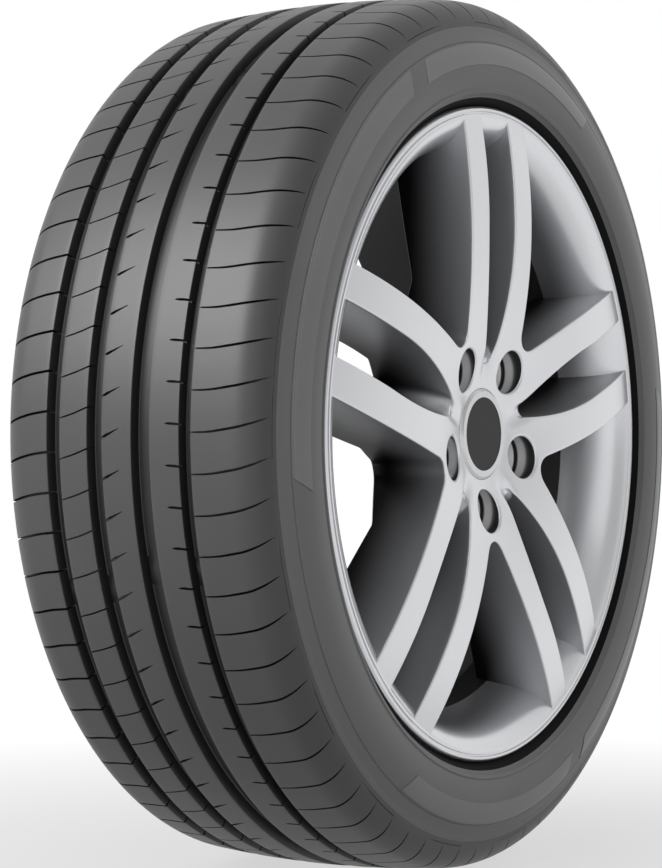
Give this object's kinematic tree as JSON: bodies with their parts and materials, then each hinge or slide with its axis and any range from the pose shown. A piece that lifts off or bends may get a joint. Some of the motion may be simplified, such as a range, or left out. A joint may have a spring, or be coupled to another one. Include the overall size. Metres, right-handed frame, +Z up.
{
  "type": "car tyre on alloy wheel",
  "caption": "Passenger-car tyre with grooved tread, fitted to a double-spoke alloy wheel with bolt holes, centre cap and snap-in valve.",
  "frame": {"origin": "centre of the wheel, on its spin axis, midway between the rim flanges", "axes": "+Y along the spin axis, inboard towards the car; the outboard face looks along -Y; +Z up as it stands in the picture"},
  "size_m": [0.634, 0.225, 0.6339],
  "materials": {
    "tyre_rubber": "matte moulded rubber",
    "wheel_alloy": "silver lacquer over cast alloy",
    "cap_bezel": "silver lacquer",
    "cap_inlay": "gloss dark grey",
    "valve_rubber": "matte",
    "valve_brass": "turned",
    "valve_cap_plastic": "matte"
  },
  "bodies": {
    "root": {"tyre": "tyre_rubber", "alloy_wheel": "wheel_alloy", "centre_cap": "cap_bezel", "cap_disc": "cap_inlay", "valve_body": "valve_rubber", "valve_stem": "valve_brass", "valve_core": "valve_brass", "valve_cap": "valve_cap_plastic"}
  },
  "joints": []
}
